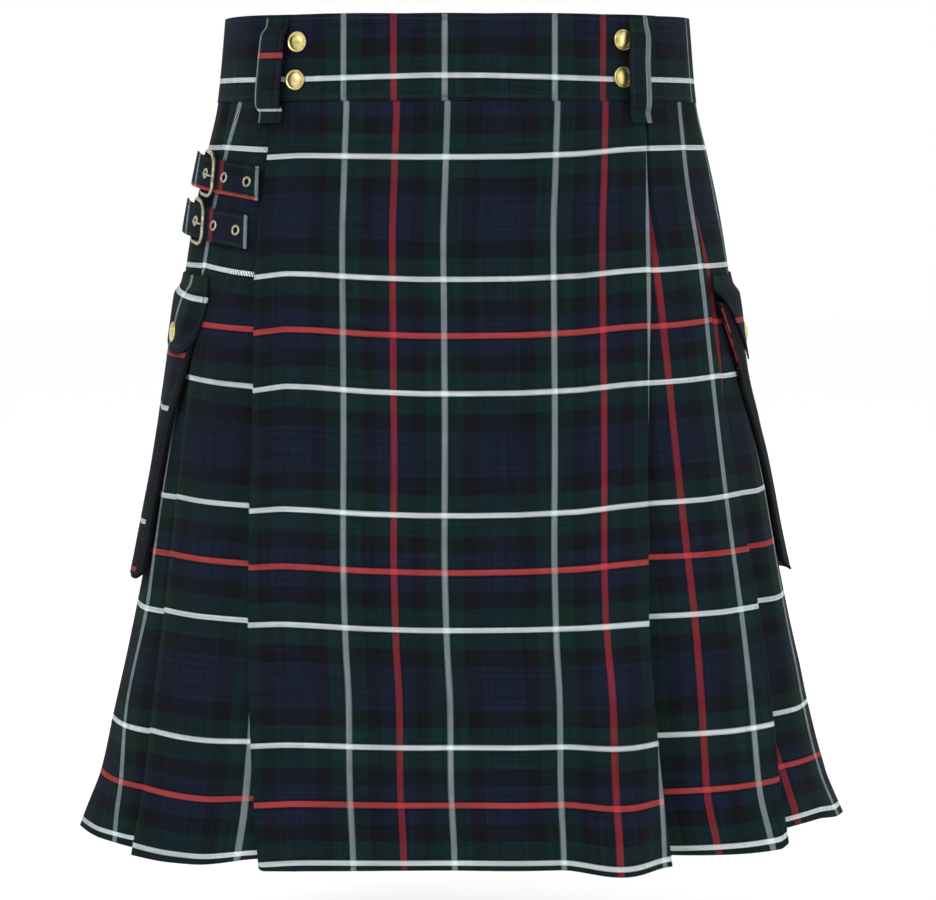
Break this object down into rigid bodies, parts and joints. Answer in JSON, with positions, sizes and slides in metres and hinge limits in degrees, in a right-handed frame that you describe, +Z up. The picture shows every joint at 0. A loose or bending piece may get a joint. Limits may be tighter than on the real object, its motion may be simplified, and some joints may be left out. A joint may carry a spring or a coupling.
{
  "type": "scottish kilt",
  "caption": "Pleated tartan cargo kilt with a flat front apron, buckled side straps, belt loops, press snaps and flapped side pockets, filled out as worn.",
  "frame": {"origin": "centre of the waist, half way down the waistband", "axes": "+Z up to the waistband's top edge, -Y the way the wearer faces, -X the wearer's right side"},
  "size_m": [0.583, 0.3819, 0.6153],
  "materials": {
    "tartan": "matte wool-look twill, dark green, navy and black check with white and red lines",
    "tartan_inner": "matte wool-look twill in the same check",
    "brass": "antique, satin"
  },
  "bodies": {
    "root": {"apron": "tartan", "belt_loop_back": "tartan", "belt_loop_front_left": "tartan", "belt_loop_front_right": "tartan", "belt_loop_side_left": "tartan", "belt_loop_side_right": "tartan", "buckle_lower": "brass", "buckle_tab_lower": "tartan_inner", "buckle_tab_upper": "tartan_inner", "buckle_upper": "brass", "eyelet_lower_1": "brass", "eyelet_lower_2": "brass", "eyelet_lower_3": "brass", "eyelet_upper_1": "brass", "eyelet_upper_2": "brass", "eyelet_upper_3": "brass", "pleat_left_1": "tartan", "pleat_left_2": "tartan", "pleat_left_3": "tartan", "pleat_left_4": "tartan", "pleat_left_5": "tartan", "pleat_left_6": "tartan", "pleat_right_1": "tartan", "pleat_right_2": "tartan", "pleat_right_3": "tartan", "pleat_right_4": "tartan", "pleat_right_5": "tartan", "pleat_right_6": "tartan", "pocket_flap_left": "tartan", "pocket_flap_right": "tartan", "pocket_left": "tartan_inner", "pocket_right": "tartan_inner", "pocket_snap_left": "brass", "pocket_snap_right": "brass", "prong_lower": "brass", "prong_upper": "brass", "snap_left_lower": "brass", "snap_left_upper": "brass", "snap_right_lower": "brass", "snap_right_upper": "brass", "strap_lower": "tartan", "strap_upper": "tartan", "under_apron": "tartan_inner", "waistband": "tartan"}
  },
  "joints": []
}
